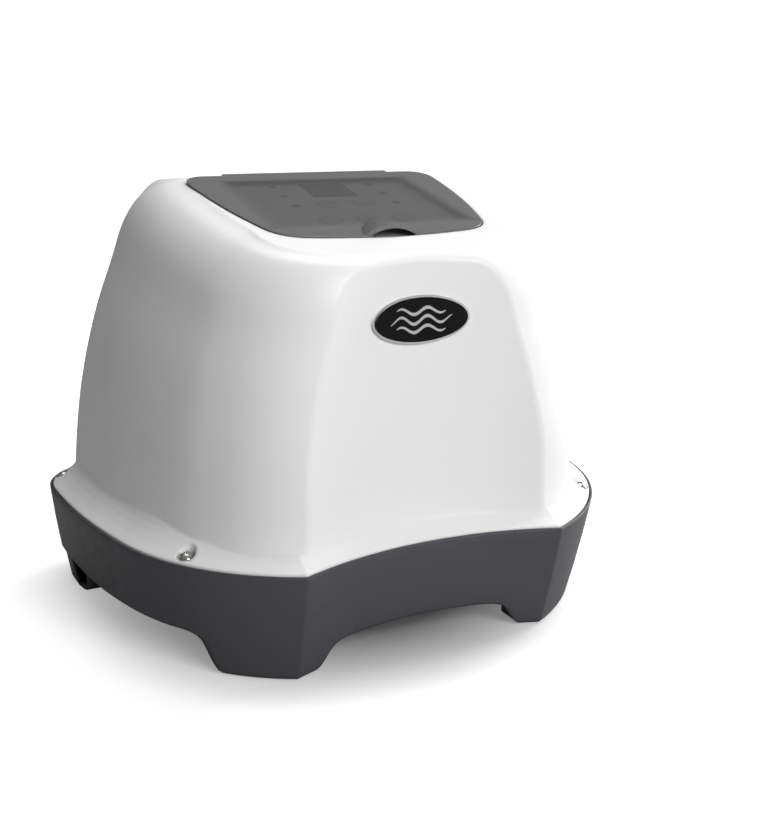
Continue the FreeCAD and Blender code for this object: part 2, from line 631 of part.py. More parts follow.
def visor_shell(outer):
    """raised arch over the finger notch, as a loft of arch sections along v"""
    wires = []
    v0 = LID_FRONT_V + 1.7
    for k, (dv, hw, h) in enumerate(VISOR):
        if outer:
            n0, w, top, foot = LID_T1 - 0.7, hw, LID_T1 + h, LID_T1 - 0.7
        else:
            n0, w, top, foot = -4.0, hw - 2.0, LID_T1 + h - 2.2, LID_T0 - 0.6
        v = v0 + dv
        if not outer and k == 0:
            v = v0 - 4.0
        a, b = V(-w, v, foot), V(w, v, foot)
        e = [Part.Arc(a, V(0, v, top), b).toShape()]
        if outer:
            e.append(Part.makeLine(b, a))
        else:
            e += [Part.makeLine(b, V(w, v, n0)), Part.makeLine(V(w, v, n0), V(-w, v, n0)), Part.makeLine(V(-w, v, n0), a)]
        wires.append(Part.Wire(e))
    return Part.makeLoft(wires, True, False)


def make_lid():
    plate = lid_prism(0.0, LID_T0, LID_T1)
    v_rear = LID_REAR_V
    tab = box(-TAB_X, TAB_X, v_rear - 4.0, HINGE_V + 1.0, LID_T0, LID_T1)
    ce = [e for e in tab.Edges if e.BoundBox.ZLength > 1.5 and e.BoundBox.YMin > v_rear]
    tab = tab.makeFillet(1.5, ce)
    barrel = cylx(-TAB_X, TAB_X, HINGE_V, HINGE_N, BARREL_R)
    gusset = box(-TAB_X, TAB_X, HINGE_V - 2.2, HINGE_V + 1.0, HINGE_N, LID_T0 + 0.3)
    s = fuse([plate, tab, barrel, gusset])
    # the barrel is relieved into three knuckles
    for x0 in (-38.0, 14.0):
        s = s.cut(box(x0, x0 + 24.0, HINGE_V - 3.4, HINGE_V + 3.4, -6.0, LID_T0))
    s = s.fuse(visor_shell(True)).cut(visor_shell(False))
    s = s.cut(cylx(-TAB_X - 1, TAB_X + 1, HINGE_V, HINGE_N, BARREL_BORE_R))
    return s.removeSplitter()


def make_board():
    b = box(-46, 46, -10, 78, BOARD_N - 1.6, BOARD_N)
    return b.cut([cyl(u, v, -20, 0, 1.5) for (u, v) in POSTS])


# ---------------------------------------------------------------- tube along a route
def fillet_route(pts, radii=None):
    P = [V(*p) for p in pts]
    edges, cur = [], P[0]
    for i in range(1, len(P) - 1):
        a, b = (P[i - 1] - P[i]), (P[i + 1] - P[i])
        la, lb = a.Length, b.Length
        ua, ub = a * (1.0 / la), b * (1.0 / lb)
        turn = math.pi - ua.getAngle(ub)
        t = 0.45 * min(la, lb)
        r = t / math.tan(turn / 2.0)
        p1, p2 = P[i] + ua * t, P[i] + ub * t
        bis = ua + ub
        bis.normalize()
        h = r / math.cos(turn / 2.0)
        c = P[i] + bis * h
        m = c - bis * r
        edges.append(Part.LineSegment(cur, p1).toShape())
        edges.append(Part.Arc(p1, m, p2).toShape())
        cur = p2
    edges.append(Part.LineSegment(cur, P[-1]).toShape())
    return Part.Wire(edges)


def tube(pts, r):
    w = fillet_route(pts)
    P0, P1 = V(*pts[0]), V(*pts[1])
    c = Part.Wire([Part.Circle(P0, P1 - P0, r).toShape()])
    s = w.makePipeShell([c], True, False)
    L = w.Length
    if abs(s.Volume - math.pi * r * r * L) > 0.02 * s.Volume:
        print("tube volume check", s.Volume, math.pi * r * r * L)
    return s


# ================================================================ interior
def make_transformer():
    x, y = XF_C
    z0 = 26.4
    core = box(x - 33, x + 33, y - 17, y + 17, z0, z0 + 55)
    core = core.cut([box(x + s * 16.5 - 5.5, x + s * 16.5 + 5.5, y - 20, y + 20, z0 + 11, z0 + 44) for s in (-1, 1)])
    tb = box(x - 12.3, x + 12.3, y - 18.3, y + 18.3, z0 + 11.2, z0 + 43.8)
    fl = [box(x - 21.7, x + 21.7, y - 28, y + 28, z0 + 11.2, z0 + 12.2), box(x - 21.7, x + 21.7, y - 28, y + 28, z0 + 42.8, z0 + 43.8)]
    bob = fuse([tb] + fl).cut(box(x - 11.05, x + 11.05, y - 17.05, y + 17.05, z0, z0 + 60))
    win = box(x - 21.2, x + 21.2, y - 27, y + 27, z0 + 12.2, z0 + 42.8).cut(
        box(x - 12.3, x + 12.3, y - 18.3, y + 18.3, z0, z0 + 60))
    ve = [e for e in win.Edges if e.BoundBox.ZLength > 25 and abs(e.BoundBox.XMin - x) > 20]
    try:
        win = win.makeFillet(3.0, ve)
    except Exception:
        pass
    t = 1.2
    strap = fuse([box(x - 33.1 - t, x + 33.1 + t, y - 14, y + 14, z0 + 55.05, z0 + 55.05 + t),
                  box(x - 33.1 - t, x - 33.1, y - 14, y + 14, 26.25, z0 + 55.5),
                  box(x + 33.1, x + 33.1 + t, y - 14, y + 14, 26.25, z0 + 55.5),
                  box(x - 46, x - 33.1, y - 14, y + 14, 26.25, 26.25 + t),
                  box(x + 33.1, x + 46, y - 14, y + 14, 26.25, 26.25 + t)])
    strap = strap.cut([cyl(a, b, 20, 30, 2.2) for a, b in XF_SCREWS])
    scr = group([pan_screw(a, b, 26.25 + t, 1.9, 23.8, 3.6, 2.4) for a, b in XF_SCREWS])
    return core, bob, win, strap, scr


def make_power():
    x0, x1, y0, y1, z0, z1 = PCB
    b = box(x0, x1, y0, y1, z0, z1).cut([cyl(a, c, 30, 40, 1.7) for a, c in STANDOFFS])
    so = group([fuse([hexprism(a, c, 26.25, z0 - 0.02, 5.5), cyl(a, c, 23.9, 27, 1.45)]).cut(cyl(a, c, 29.5, 40, 1.5))
                for a, c in STANDOFFS])
    sc = group([pan_screw(a, c, z1 + 0.02, 1.45, 30.0, 2.7, 1.9) for a, c in STANDOFFS])
    hs = box(72, 75, -52, -14, z1 + 0.2, 72)
    fins = [box(75, 104, -52 + 6.0 * k, -50.4 + 6.0 * k, z1 + 0.2, 72) for k in range(7)]
    hs = fuse([hs] + fins)
    br = fuse([box(66.5, 71.8, -47, -19, 46, 66)] + [box(69.0, 69.8, yy - 0.5, yy + 0.5, z1 - 2.2, 46.5) for yy in (-43, -36, -30, -23)])
    b = b.cut([box(68.9, 69.9, yy - 0.6, yy + 0.6, 30, 40) for yy in (-43, -36, -30, -23)])
    caps = []
    for (cx, cy, r, h) in ((32, -38, 11, 32), (53, -38, 8, 25), (32, -14, 8, 25), (50, -18, 5, 13), (96, 0, 5, 13)):
        c = cyl(cx, cy, z1 + 0.3, z1 + h, r)
        c = c.cut(cyl(cx, cy, z1 + h - 0.4, z1 + h + 1, r - 1.1))
        g = Part.makeTorus(r + 0.35, 0.9, V(cx, cy, z1 + 4.2))
        caps.append(c.cut(g))
    rel = []
    for cx in (66, 88):
        r = box(cx - 9.5, cx + 9.5, 8, 24, z1 + 0.1, z1 + 15.5)
        r = r.makeFillet(0.8, [e for e in r.Edges if e.BoundBox.ZMin > z1 + 5])
        rel.append(r)
    tb = box(30, 78, 42, 55, z1 + 0.1, z1 + 14)
    for k in range(6):
        cx = 34 + 8 * k
        tb = tb.cut([cyl(cx, 46.5, z1 + 6, z1 + 15, 2.4), cyly(cx, 47, 56, z1 + 5.0, 2.1)])
    fh = []
    for yy in (32.0, 20.0):
        h = fuse([box(103.5, 110.5, yy - 2.5, yy + 2.5, z1 + 0.1, z1 + 1.1), box(103.7, 104.3, yy - 2.5, yy + 2.5, z1 + 0.6, z1 + 8),
                  box(109.7, 110.3, yy - 2.5, yy + 2.5, z1 + 0.6, z1 + 8)])
        fh.append(h)
    fuse_l = fuse([cyly(107, 15.5, 36.5, z1 + 4.6, 2.2), cyly(107, 15.5, 20.5, z1 + 4.6, 2.55), cyly(107, 31.5, 36.5, z1 + 4.6, 2.55)])
    con = fuse([box(20, 42, 15, 24, z1 + 0.1, z1 + 9.0)]).cut(box(21, 41, 16, 23, z1 + 3.0, z1 + 10))
    chips = group([fuse([box(46, 56, 2, 9, z1 + 0.6, z1 + 4)] + [box(46.6 + 1.27 * k, 47.1 + 1.27 * k, 0.8, 10.2, z1 + 0.05, z1 + 1.6) for k in range(8)]),
                   fuse([box(60, 68, -8, 0, z1 + 0.4, z1 + 2.4)])])
    return b, so, sc, hs, br, group(caps), group(rel), tb, group(fh), fuse_l, con, chips


def make_gland(x, z, r):
    """flanged cable gland pushed through the rear panel from outside"""
    ro = r + 3.0
    flange = hexprism(x, z, PANEL_Y + 0.02, PANEL_Y + 3.2, 2 * ro + 5.0, axis="y")
    neck = cyly(x, PANEL_Y - 11.0, PANEL_Y + 3.0, z, ro)
    nose = Part.makeCone(ro + 1.2, r + 1.6, 6.8, V(x, PANEL_Y + 3.1, z), V(0, 1, 0))
    g = fuse([flange, neck, nose])
    g = g.cut([cyly(x, PANEL_Y - 12, PANEL_Y + 12, z, r)])
    # thread relief grooves on the neck
    for k in range(4):
        yy = PANEL_Y - 4.6 - 1.6 * k
        g = g.cut(cyly(x, yy, yy + 0.7, z, ro + 1).cut(cyly(x, yy - 1, yy + 2, z, ro - 0.45)))
    return g


def make_nut(x, z, r):
    ro = r + 3.0
    return hexprism(x, z, PANEL_Y - 7.4, PANEL_Y - 3.02, 2 * ro + 4.6, axis="y").cut(cyly(x, PANEL_Y - 12, PANEL_Y, z, ro + 0.03))


# ================================================================ build
NODES["base_tray"] = make_tray()
NODES["rim_seal"] = make_seal()
NODES["dome_cover"] = make_dome()
NODES["cover_screws"] = group([pan_screw(x, y, SEAT_Z + 0.62, SHANK_R, 46.0, 3.5, 2.5) for x, y in SCREWS])
NODES["screw_washers"] = group([ring(x, y, SEAT_Z, SEAT_Z + 0.6, 4.4, 2.1) for x, y in SCREWS])
plate, rim, waves = make_badge()
NODES["badge_plate"], NODES["badge_trim"], NODES["badge_emblem"] = plate, rim, waves

NODES["control_fascia"] = tilt(make_fascia())
NODES["display_window"] = tilt(box(DISP_U - DISP_W / 2, DISP_U + DISP_W / 2, DISP_V - DISP_H / 2, DISP_V + DISP_H / 2, FASCIA_T0, FASCIA_T1))
NODES["display_module"] = tilt(fuse([box(DISP_U - 13, DISP_U + 13, DISP_V - 13, DISP_V + 13, BOARD_N + 1.5, FASCIA_T0 - 0.3)]
                                    + [box(DISP_U - 9 + 3.5 * k, DISP_U - 8.5 + 3.5 * k, DISP_V + s * 11 - 0.25, DISP_V + s * 11 + 0.25, BOARD_N, BOARD_N + 2)
                                       for k in range(6) for s in (-1, 1)]))
NODES["indicator_light_pipes"] = tilt(group([fuse([cyl(u, v, BOARD_N + 2.1, FASCIA_T1 + 0.1, 2.5), cyl(u, v, FASCIA_T0 - 1.2, FASCIA_T0 - 0.05, 3.4)]) for u, v in PIPES]))
NODES["indicator_leds"] = tilt(group([box(u - 1.7, u + 1.7, v - 1.4, v + 1.4, BOARD_N + 0.02, BOARD_N + 1.9) for u, v in PIPES]))
NODES["control_board"] = tilt(make_board())
NODES["control_board_screws"] = tilt(group([
    fuse([cyl(u, v, BOARD_N - 3.4, BOARD_N - 1.62, 2.6), cyl(u, v, BOARD_N - 2, -5.5, 1.25)]).cut(
        [box(u - 1.4, u + 1.4, v - 0.4, v + 0.4, -20, BOARD_N - 2.5), box(u - 0.4, u + 0.4, v - 1.4, v + 1.4, -20, BOARD_N - 2.5)])
    for u, v in POSTS]))
NODES["tact_switches"] = tilt(group([make_tact(u, v) for _, u, v in KEYS]))
NODES["control_board_socket"] = tilt(box(20, 42, 50, 60, BOARD_N - 9.0, BOARD_N - 1.62).cut(box(21, 41, 51, 59, BOARD_N - 10, BOARD_N - 4.5)))
NODES["hinge_pin"] = tilt(cylx(-PIN_HALF, PIN_HALF, HINGE_V, HINGE_N, PIN_R))

NODES["lid"] = tilt(make_lid())
for name, u, v in KEYS:
    NODES["key_" + name] = tilt(make_key(u, v))
    NODES["key_" + name + "_plunger"] = tilt(cyl(u, v, -9.9, -7.52, 1.7))

for name, x, z, r in GLANDS:
    NODES[name] = make_gland(x, z, r)
NODES["gland_nuts"] = group([make_nut(x, z, r) for _, x, z, r in GLANDS])

(NODES["transformer_core"], NODES["transformer_bobbin"], NODES["transformer_windings"], NODES["transformer_strap"],
 NODES["transformer_screws"]) = make_transformer()
(NODES["power_board"], NODES["board_standoffs"], NODES["board_screws"], NODES["heatsink"], NODES["bridge_rectifier"],
 NODES["capacitors"], NODES["relays"], NODES["terminal_block"], NODES["fuse_clips"], NODES["fuse_link"],
 NODES["ribbon_socket"], NODES["board_chips"]) = make_power()

# ribbon from the power board's socket up to the control board's socket
def ribbon():
    y0, z0 = 19.5, PCB[5] + 3.2
    pt = lambda v, n: (TOP_Y + v * COS - (n - LID_DROP) * SIN, TOP_Z + v * SIN + (n - LID_DROP) * COS)
    ye, ze = pt(55.0, BOARD_N - 4.7)
    yd, zd = pt(55.0, BOARD_N - 34.0)
    route = [(31, y0, z0), (31, y0, 95.0), (31, 40.0, 145.0), (31, yd, zd), (31, ye, ze)]
    w = fillet_route(route)
    prof = Part.makePolygon([V(21.6, y0 - 0.5, z0), V(40.4, y0 - 0.5, z0), V(40.4, y0 + 0.5, z0), V(21.6, y0 + 0.5, z0), V(21.6, y0 - 0.5, z0)])
    return w.makePipeShell([prof], True, False)


NODES["ribbon_cable"] = ribbon()
zt = PCB[5] + 5.0
NODES["mains_wires"] = group([
    tube([(-35.2 + 2.4 * k, 94.5, 41.0), (-35.2 + 2.4 * k, 86.0 - 3 * k, 41.2), (-8 + 4 * k, 76.0 - 3 * k, 41.6),
          (26 - 2 * k + 8 * k * 0.4, 76.5 - 3 * k, zt + 0.5), (34.0 + 8 * k, 68.0, zt), (34.0 + 8 * k, 48.5, zt)], 1.0)
    for k in range(2)])
NODES["cell_wires"] = group([
    tube([(2.8 + 2.4 * k, 94.5, 41.0), (3.4 + 2.4 * k, 88.0 + 1.5 * k, 41.2), (30.0 + 6 * k, 84.0 + 2.6 * k, 41.5),
          (50.0 + 8 * k, 79.0 + 0.5 * k, zt + 0.2), (50.0 + 8 * k, 64.0, zt), (50.0 + 8 * k, 48.5, zt)], 1.0)
    for k in range(2)])
NODES["sensor_wires"] = group([
    tube([(34.8 + 2.4 * k, 94.9, 41.0), (35.6 + 2.4 * k, 92.0, 41.1), (52.0 + 4 * k, 92.5 - 2.5 * k, 41.5),
          (66.0 + 8 * k, 84.0, zt + 0.2), (66.0 + 8 * k, 64.0, zt), (66.0 + 8 * k, 48.5, zt)], 0.7)
    for k in range(2)])

for name, s in NODES.items():
    if s.ShapeType == "Compound" and len(s.Solids) == 1:
        s = s.Solids[0]
    if not s.isValid():
        print("not valid:", name)
    s.exportStep("parts/" + name + ".step")
    b = s.BoundBox
    print("%-24s solids %2d  vol %10.1f  x %7.1f %7.1f  y %7.1f %7.1f  z %6.1f %6.1f" % (
        name, len(s.Solids), s.Volume, b.XMin, b.XMax, b.YMin, b.YMax, b.ZMin, b.ZMax))
allb = FreeCAD.BoundBox()
for s in NODES.values():
    allb.add(s.BoundBox)
print("all", len(NODES), allb)
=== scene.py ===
import json
import math

import bmesh
import bpy
import numpy as np
from mathutils import Matrix, Vector


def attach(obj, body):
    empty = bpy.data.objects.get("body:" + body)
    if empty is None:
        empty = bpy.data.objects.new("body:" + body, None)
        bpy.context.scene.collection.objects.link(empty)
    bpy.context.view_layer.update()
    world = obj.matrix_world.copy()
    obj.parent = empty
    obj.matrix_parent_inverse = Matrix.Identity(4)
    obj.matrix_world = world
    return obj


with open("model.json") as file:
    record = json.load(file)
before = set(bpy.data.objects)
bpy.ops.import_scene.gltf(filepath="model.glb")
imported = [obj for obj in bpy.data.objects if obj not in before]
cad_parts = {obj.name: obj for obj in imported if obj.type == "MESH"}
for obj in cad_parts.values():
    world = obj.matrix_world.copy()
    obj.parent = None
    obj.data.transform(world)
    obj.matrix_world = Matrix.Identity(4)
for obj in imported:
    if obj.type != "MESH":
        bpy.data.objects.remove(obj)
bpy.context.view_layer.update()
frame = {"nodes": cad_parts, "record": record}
nodes = frame["nodes"]
scene = bpy.context.scene

# ------------------------------------------------------------------ sizes shared with the CAD (metres)
TOP_Y, TOP_Z, SLOPE = -0.0386, 0.2252, 0.221
TH = math.atan(SLOPE)
COS, SIN = math.cos(TH), math.sin(TH)
LID_DROP = 0.0012
KEY_TOP = -0.0005
KEYS = (("power", -0.020, 0.005), ("timer", 0.002, 0.005), ("boost", 0.024, 0.005), ("clean", -0.009, 0.0345), ("lock", 0.013, 0.0345))


def panel(u, v, n):
    n -= LID_DROP
    return Vector((u, TOP_Y + v * COS - n * SIN, TOP_Z + v * SIN + n * COS))


# ------------------------------------------------------------------ materials
def new_mat(name):
    m = bpy.data.materials.new(name)
    m.use_nodes = True
    nt = m.node_tree
    b = nt.nodes["Principled BSDF"]
    return m, nt, b


def node(nt, kind, **kw):
    n = nt.nodes.new(kind)
    for k, v in kw.items():
        setattr(n, k, v)
    return n


def noise(nt, co, scale, detail=2.0, rough=0.5, stretch=None):
    n = node(nt, "ShaderNodeTexNoise")
    n.inputs["Scale"].default_value = scale
    n.inputs["Detail"].default_value = detail
    n.inputs["Roughness"].default_value = rough
    if stretch:
        mp = node(nt, "ShaderNodeMapping")
        mp.inputs["Scale"].default_value = stretch
        nt.links.new(co, mp.inputs["Vector"])
        nt.links.new(mp.outputs["Vector"], n.inputs["Vector"])
    else:
        nt.links.new(co, n.inputs["Vector"])
    return n.outputs["Fac"]


def ramp(nt, fac, stops):
    r = node(nt, "ShaderNodeValToRGB")
    cr = r.color_ramp
    while len(cr.elements) < len(stops):
        cr.elements.new(0.5)
    for e, (p, c) in zip(cr.elements, stops):
        e.position = p
        e.color = tuple(c) + (1.0,) if len(c) == 3 else tuple(c)
    nt.links.new(fac, r.inputs["Fac"])
    return r.outputs["Color"]


def span(nt, fac, lo, hi, a, b):
    m = node(nt, "ShaderNodeMapRange")
    m.inputs["From Min"].default_value = lo
    m.inputs["From Max"].default_value = hi
    m.inputs["To Min"].default_value = a
    m.inputs["To Max"].default_value = b
    nt.links.new(fac, m.inputs["Value"])
    return m.outputs["Result"]


def coords(nt):
    return node(nt, "ShaderNodeTexCoord").outputs["Object"]


def bump(nt, b, heights, edge=0.0):
    """heights: list of (socket, strength, distance in metres), chained; edge rounds what the light sees of an edge"""
    last = None
    if edge:
        bv = node(nt, "ShaderNodeBevel", samples=6)
        bv.inputs["Radius"].default_value = edge
        last = bv.outputs["Normal"]
    for h, s, d in heights:
        n = node(nt, "ShaderNodeBump")
        n.inputs["Strength"].default_value = s
        n.inputs["Distance"].default_value = d
        nt.links.new(h, n.inputs["Height"])
        if last is not None:
            nt.links.new(last, n.inputs["Normal"])
        last = n.outputs["Normal"]
    nt.links.new(last, b.inputs["Normal"])


def moulded(name, c0, c1, r0, r1, grain=900.0, grain_s=0.10, grain_d=0.00004, wave=16.0, wave_s=0.0, spec=0.5, coat=0.0, alpha=1.0, edge=0.0):
    """injection moulded plastic: two-tone base, uneven gloss, fine mould grain"""
    m, nt, b = new_mat(name)
    co = coords(nt)
    big = noise(nt, co, wave, 3.0, 0.55)
    nt.links.new(ramp(nt, big, ((0.32, c0), (0.68, c1))), b.inputs["Base Color"])
    mid = noise(nt, co, wave * 7.0, 4.0, 0.6)
    nt.links.new(span(nt, mid, 0.3, 0.7, r0, r1), b.inputs["Roughness"])
    fine = noise(nt, co, grain, 2.0, 0.5)
    hs = [(fine, grain_s, grain_d)]
    if wave_s:
        hs.insert(0, (big, wave_s, 0.0006))
    bump(nt, b, hs, edge)
    b.inputs["Specular IOR Level"].default_value = spec
    if coat:
        b.inputs["Coat Weight"].default_value = coat
        b.inputs["Coat Roughness"].default_value = 0.08
    if alpha < 1.0:
        b.inputs["Alpha"].default_value = alpha
    return m


def metal(name, c0, c1, r0, r1, stretch=(1.0, 1.0, 1.0), scale=600.0):
    m, nt, b = new_mat(name)
    co = coords(nt)
    big = noise(nt, co, 120.0, 3.0)
    nt.links.new(ramp(nt, big, ((0.3, c0), (0.7, c1))), b.inputs["Base Color"])
    fine = noise(nt, co, scale, 3.0, 0.6, stretch)
    nt.links.new(span(nt, fine, 0.3, 0.7, r0, r1), b.inputs["Roughness"])
    bump(nt, b, [(fine, 0.15, 0.00003)])
    b.inputs["Metallic"].default_value = 1.0
    return m


M = {}
M["white_plastic"] = moulded("white_abs", (0.835, 0.835, 0.835), (0.85, 0.85, 0.85), 0.36, 0.42, 1400.0, 0.04, 0.00002, 9.0, edge=0.0026)
M["dark_plastic"] = moulded("slate_plastic", (0.069, 0.070, 0.079), (0.076, 0.077, 0.087), 0.42, 0.50, 1700.0, 0.16, 0.00004, 22.0, spec=0.34, edge=0.003)
M["black_rubber"] = moulded("seal_rubber", (0.010, 0.010, 0.011), (0.018, 0.018, 0.019), 0.55, 0.7, 1500.0, 0.15, 0.00004, 60.0)
M["stainless"] = metal("screw_steel", (0.52, 0.51, 0.49), (0.66, 0.65, 0.62), 0.18, 0.34)
M["badge_black"] = moulded("badge_lacquer", (0.003, 0.003, 0.0035), (0.005, 0.005, 0.006), 0.10, 0.14, 400.0, 0.01, 0.00001, 30.0, spec=0.16)
M["badge_silver"] = metal("badge_foil", (0.72, 0.72, 0.73), (0.82, 0.82, 0.83), 0.16, 0.26)
M["panel_grey"] = moulded("fascia_film", (0.305, 0.307, 0.309), (0.313, 0.315, 0.317), 0.40, 0.46, 2200.0, 0.06, 0.00002, 24.0)
M["display_dark"] = moulded("display_glass", (0.010, 0.010, 0.011), (0.014, 0.014, 0.015), 0.10, 0.14, 500.0, 0.01, 0.00001, 40.0, spec=0.3)
M["indicator"] = moulded("indicator_diffuser", (0.018, 0.019, 0.021), (0.030, 0.031, 0.034), 0.25, 0.34, 900.0, 0.05, 0.00002, 200.0)
M["led_white"] = moulded("led_body", (0.62, 0.62, 0.58), (0.70, 0.70, 0.66), 0.35, 0.5, 900.0, 0.05, 0.00002, 100.0)
M["board_green"] = moulded("solder_mask", (0.014, 0.09, 0.035), (0.022, 0.12, 0.048), 0.22, 0.36, 900.0, 0.08, 0.00003, 60.0)
M["smoked_lid"] = moulded("smoked_polycarbonate", (0.156, 0.157, 0.159), (0.161, 0.162, 0.164), 0.20, 0.24, 1600.0, 0.01, 0.00001, 12.0, spec=0.4, alpha=0.36, edge=0.0006)
M["key_grey"] = moulded("key_cap", (0.288, 0.290, 0.293), (0.296, 0.298, 0.301), 0.40, 0.48, 2200.0, 0.08, 0.00003, 60.0)
M["print_ink"] = moulded("print_ink", (0.020, 0.020, 0.021), (0.028, 0.028, 0.029), 0.40, 0.50, 2200.0, 0.03, 0.00001, 80.0)
M["black_plastic"] = moulded("black_nylon", (0.010, 0.010, 0.011), (0.018, 0.018, 0.019), 0.38, 0.5, 1500.0, 0.15, 0.00004, 60.0)
M["lamination"] = metal("core_steel", (0.20, 0.20, 0.21), (0.30, 0.30, 0.31), 0.35, 0.55, (1.0, 1.0, 40.0), 300.0)
M["bobbin"] = moulded("bobbin_nylon", (0.66, 0.60, 0.45), (0.74, 0.68, 0.53), 0.4, 0.5)
M["winding_tape"] = moulded("winding_tape", (0.62, 0.42, 0.07), (0.72, 0.52, 0.10), 0.28, 0.4)
M["zinc_steel"] = metal("zinc_plate", (0.60, 0.61, 0.60), (0.72, 0.73, 0.72), 0.22, 0.4)
M["brass"] = metal("brass", (0.66, 0.48, 0.20), (0.76, 0.58, 0.28), 0.2, 0.34)
M["aluminium"] = metal("aluminium", (0.72, 0.73, 0.74), (0.82, 0.83, 0.84), 0.24, 0.4)
M["capacitor_sleeve"] = moulded("capacitor_sleeve", (0.012, 0.02, 0.07), (0.02, 0.03, 0.10), 0.18, 0.3)
M["relay_case"] = moulded("relay_case", (0.03, 0.09, 0.36), (0.05, 0.12, 0.44), 0.3, 0.42)
M["terminal_green"] = moulded("terminal_block", (0.03, 0.24, 0.09), (0.05, 0.30, 0.12), 0.35, 0.5)
M["fuse_glass"] = moulded("fuse_glass", (0.75, 0.80, 0.80), (0.85, 0.9, 0.9), 0.04, 0.08, alpha=0.35)
M["ribbon_grey"] = moulded("ribbon_insulation", (0.36, 0.37, 0.38), (0.46, 0.47, 0.48), 0.45, 0.6)
M["wire_red"] = moulded("wire_red", (0.40, 0.02, 0.02), (0.50, 0.03, 0.03), 0.35, 0.5)
M["wire_black"] = moulded("wire_black", (0.012, 0.012, 0.012), (0.02, 0.02, 0.02), 0.35, 0.5)
M["wire_blue"] = moulded("wire_blue", (0.02, 0.06, 0.34), (0.03, 0.08, 0.44), 0.35, 0.5)

# the lid is clear enough to show the panel, and printed dense round its border, hinge and visor
m = M["smoked_lid"]
nt = m.node_tree
b = nt.nodes["Principled BSDF"]
b.inputs["Base Color"].default_value = (0.154, 0.155, 0.157, 1)
inv = nodes["lid"].matrix_world.inverted()
sep = node(nt, "ShaderNodeSeparateXYZ")
nt.links.new(coords(nt), sep.inputs[0])


def local_y(y):
    return (inv @ Vector((0.0, y, 0.24))).y


def math_node(kind, a, c):
    n = node(nt, "ShaderNodeMath", operation=kind)
    nt.links.new(a, n.inputs[0])
    if c is not None:
        nt.links.new(c, n.inputs[1])
    return n.outputs[0]


def edge_of(sock, y0, y1):
    n = node(nt, "ShaderNodeMapRange", interpolation_type="SMOOTHSTEP")
    n.inputs["From Min"].default_value = y0
    n.inputs["From Max"].default_value = y1
    nt.links.new(sock, n.inputs["Value"])
    return n.outputs["Result"]


rear = edge_of(sep.outputs["Y"], local_y(0.0310), local_y(0.0395))
front = edge_of(sep.outputs["Y"], local_y(-0.0440), local_y(-0.0535))
side = edge_of(math_node("ABSOLUTE", sep.outputs["X"], None), 0.051, 0.063)
dense = math_node("MAXIMUM", math_node("MAXIMUM", rear, front), side)
nt.links.new(span(nt, dense, 0.0, 1.0, 0.45, 0.97), b.inputs["Alpha"])

slots = {s["node"]: s["material_slot"] for s in frame["record"]["subparts"]}
for name, ob in nodes.items():
    m = M[slots[name]]
    ob.data.materials.clear()
    ob.data.materials.append(m)

# ------------------------------------------------------------------ prints on the keys
def strip(bm, pts, width, place, lo, hi, closed=False):
    """a closed flat bar of that width along a run of points in the key's plane"""
    n = len(pts)
    ring = []
    for k in range(n):
        a = pts[k - 1] if (k > 0 or closed) else pts[k]
        c = pts[(k + 1) % n] if (k < n - 1 or closed) else pts[k]
        dx, dy = c[0] - a[0], c[1] - a[1]
        q = math.hypot(dx, dy)
        nx, ny = -dy / q * width / 2, dx / q * width / 2
        x, y = pts[k]
        ring.append([bm.verts.new(place(x + sx * nx, y + sx * ny, h)) for sx, h in ((-1, lo), (1, lo), (1, hi), (-1, hi))])
    for k in range(n if closed else n - 1):
        a, c = ring[k], ring[(k + 1) % n]
        for j in range(4):
            bm.faces.new((a[j], a[(j + 1) % 4], c[(j + 1) % 4], c[j]))
    if not closed:
        bm.faces.new(ring[0][::-1])
        bm.faces.new(ring[-1])


def arc(cx, cy, r, a0, a1, n):
    return [(cx + r * math.cos(math.radians(a0 + (a1 - a0) * k / n)), cy + r * math.sin(math.radians(a0 + (a1 - a0) * k / n)))
            for k in range(n + 1)]


MM = 0.001
ICONS = {
    "power": [(arc(0, -0.2, 2.6, 130, 410, 20), False), ([(0, 0.6), (0, 3.4)], False)],
    "timer": [(arc(0, 0, 2.9, 0, 345, 23), True), ([(0, 2.0), (0, 0), (1.5, -0.9)], False)],
    "boost": [([(-2.4, -2.2), (0, -0.2), (2.4, -2.2)], False), ([(-2.4, 0.4), (0, 2.4), (2.4, 0.4)], False)],
    "clean": [([(-3.0 + 0.5 * k, 1.2 + 0.7 * math.sin(k * 1.05)) for k in range(13)], False),
              ([(-3.0 + 0.5 * k, -1.2 + 0.7 * math.sin(k * 1.05)) for k in range(13)], False)],
    "lock": [([(-2.1, -2.6), (2.1, -2.6), (2.1, 0.3), (-2.1, 0.3)], True), (arc(0, 0.9, 1.35, 0, 180, 10), False)],
}
for name, u0, v0 in KEYS:
    bm = bmesh.new()

    def place(x, y, h, u0=u0, v0=v0):
        return panel(u0 + x * MM, v0 + y * MM, KEY_TOP + h * MM)

    circle = arc(0, 0, 6.1, 0, 352.5, 47)
    strip(bm, circle, 0.5, place, -0.04, 0.03, True)
    for run, closed in ICONS[name]:
        strip(bm, run, 0.5, place, -0.04, 0.03, closed)
    bmesh.ops.recalc_face_normals(bm, faces=bm.faces)
    me = bpy.data.meshes.new("key_%s_print" % name)
    bm.to_mesh(me)
    bm.free()
    me.materials.append(M["print_ink"])
    ob = bpy.data.objects.new("key_%s_print" % name, me)
    scene.collection.objects.link(ob)
    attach(ob, "key_" + name)

# ------------------------------------------------------------------ stage
FLOOR_GLOW = 0.46
floor_me = bpy.data.meshes.new("floor")
bm = bmesh.new()
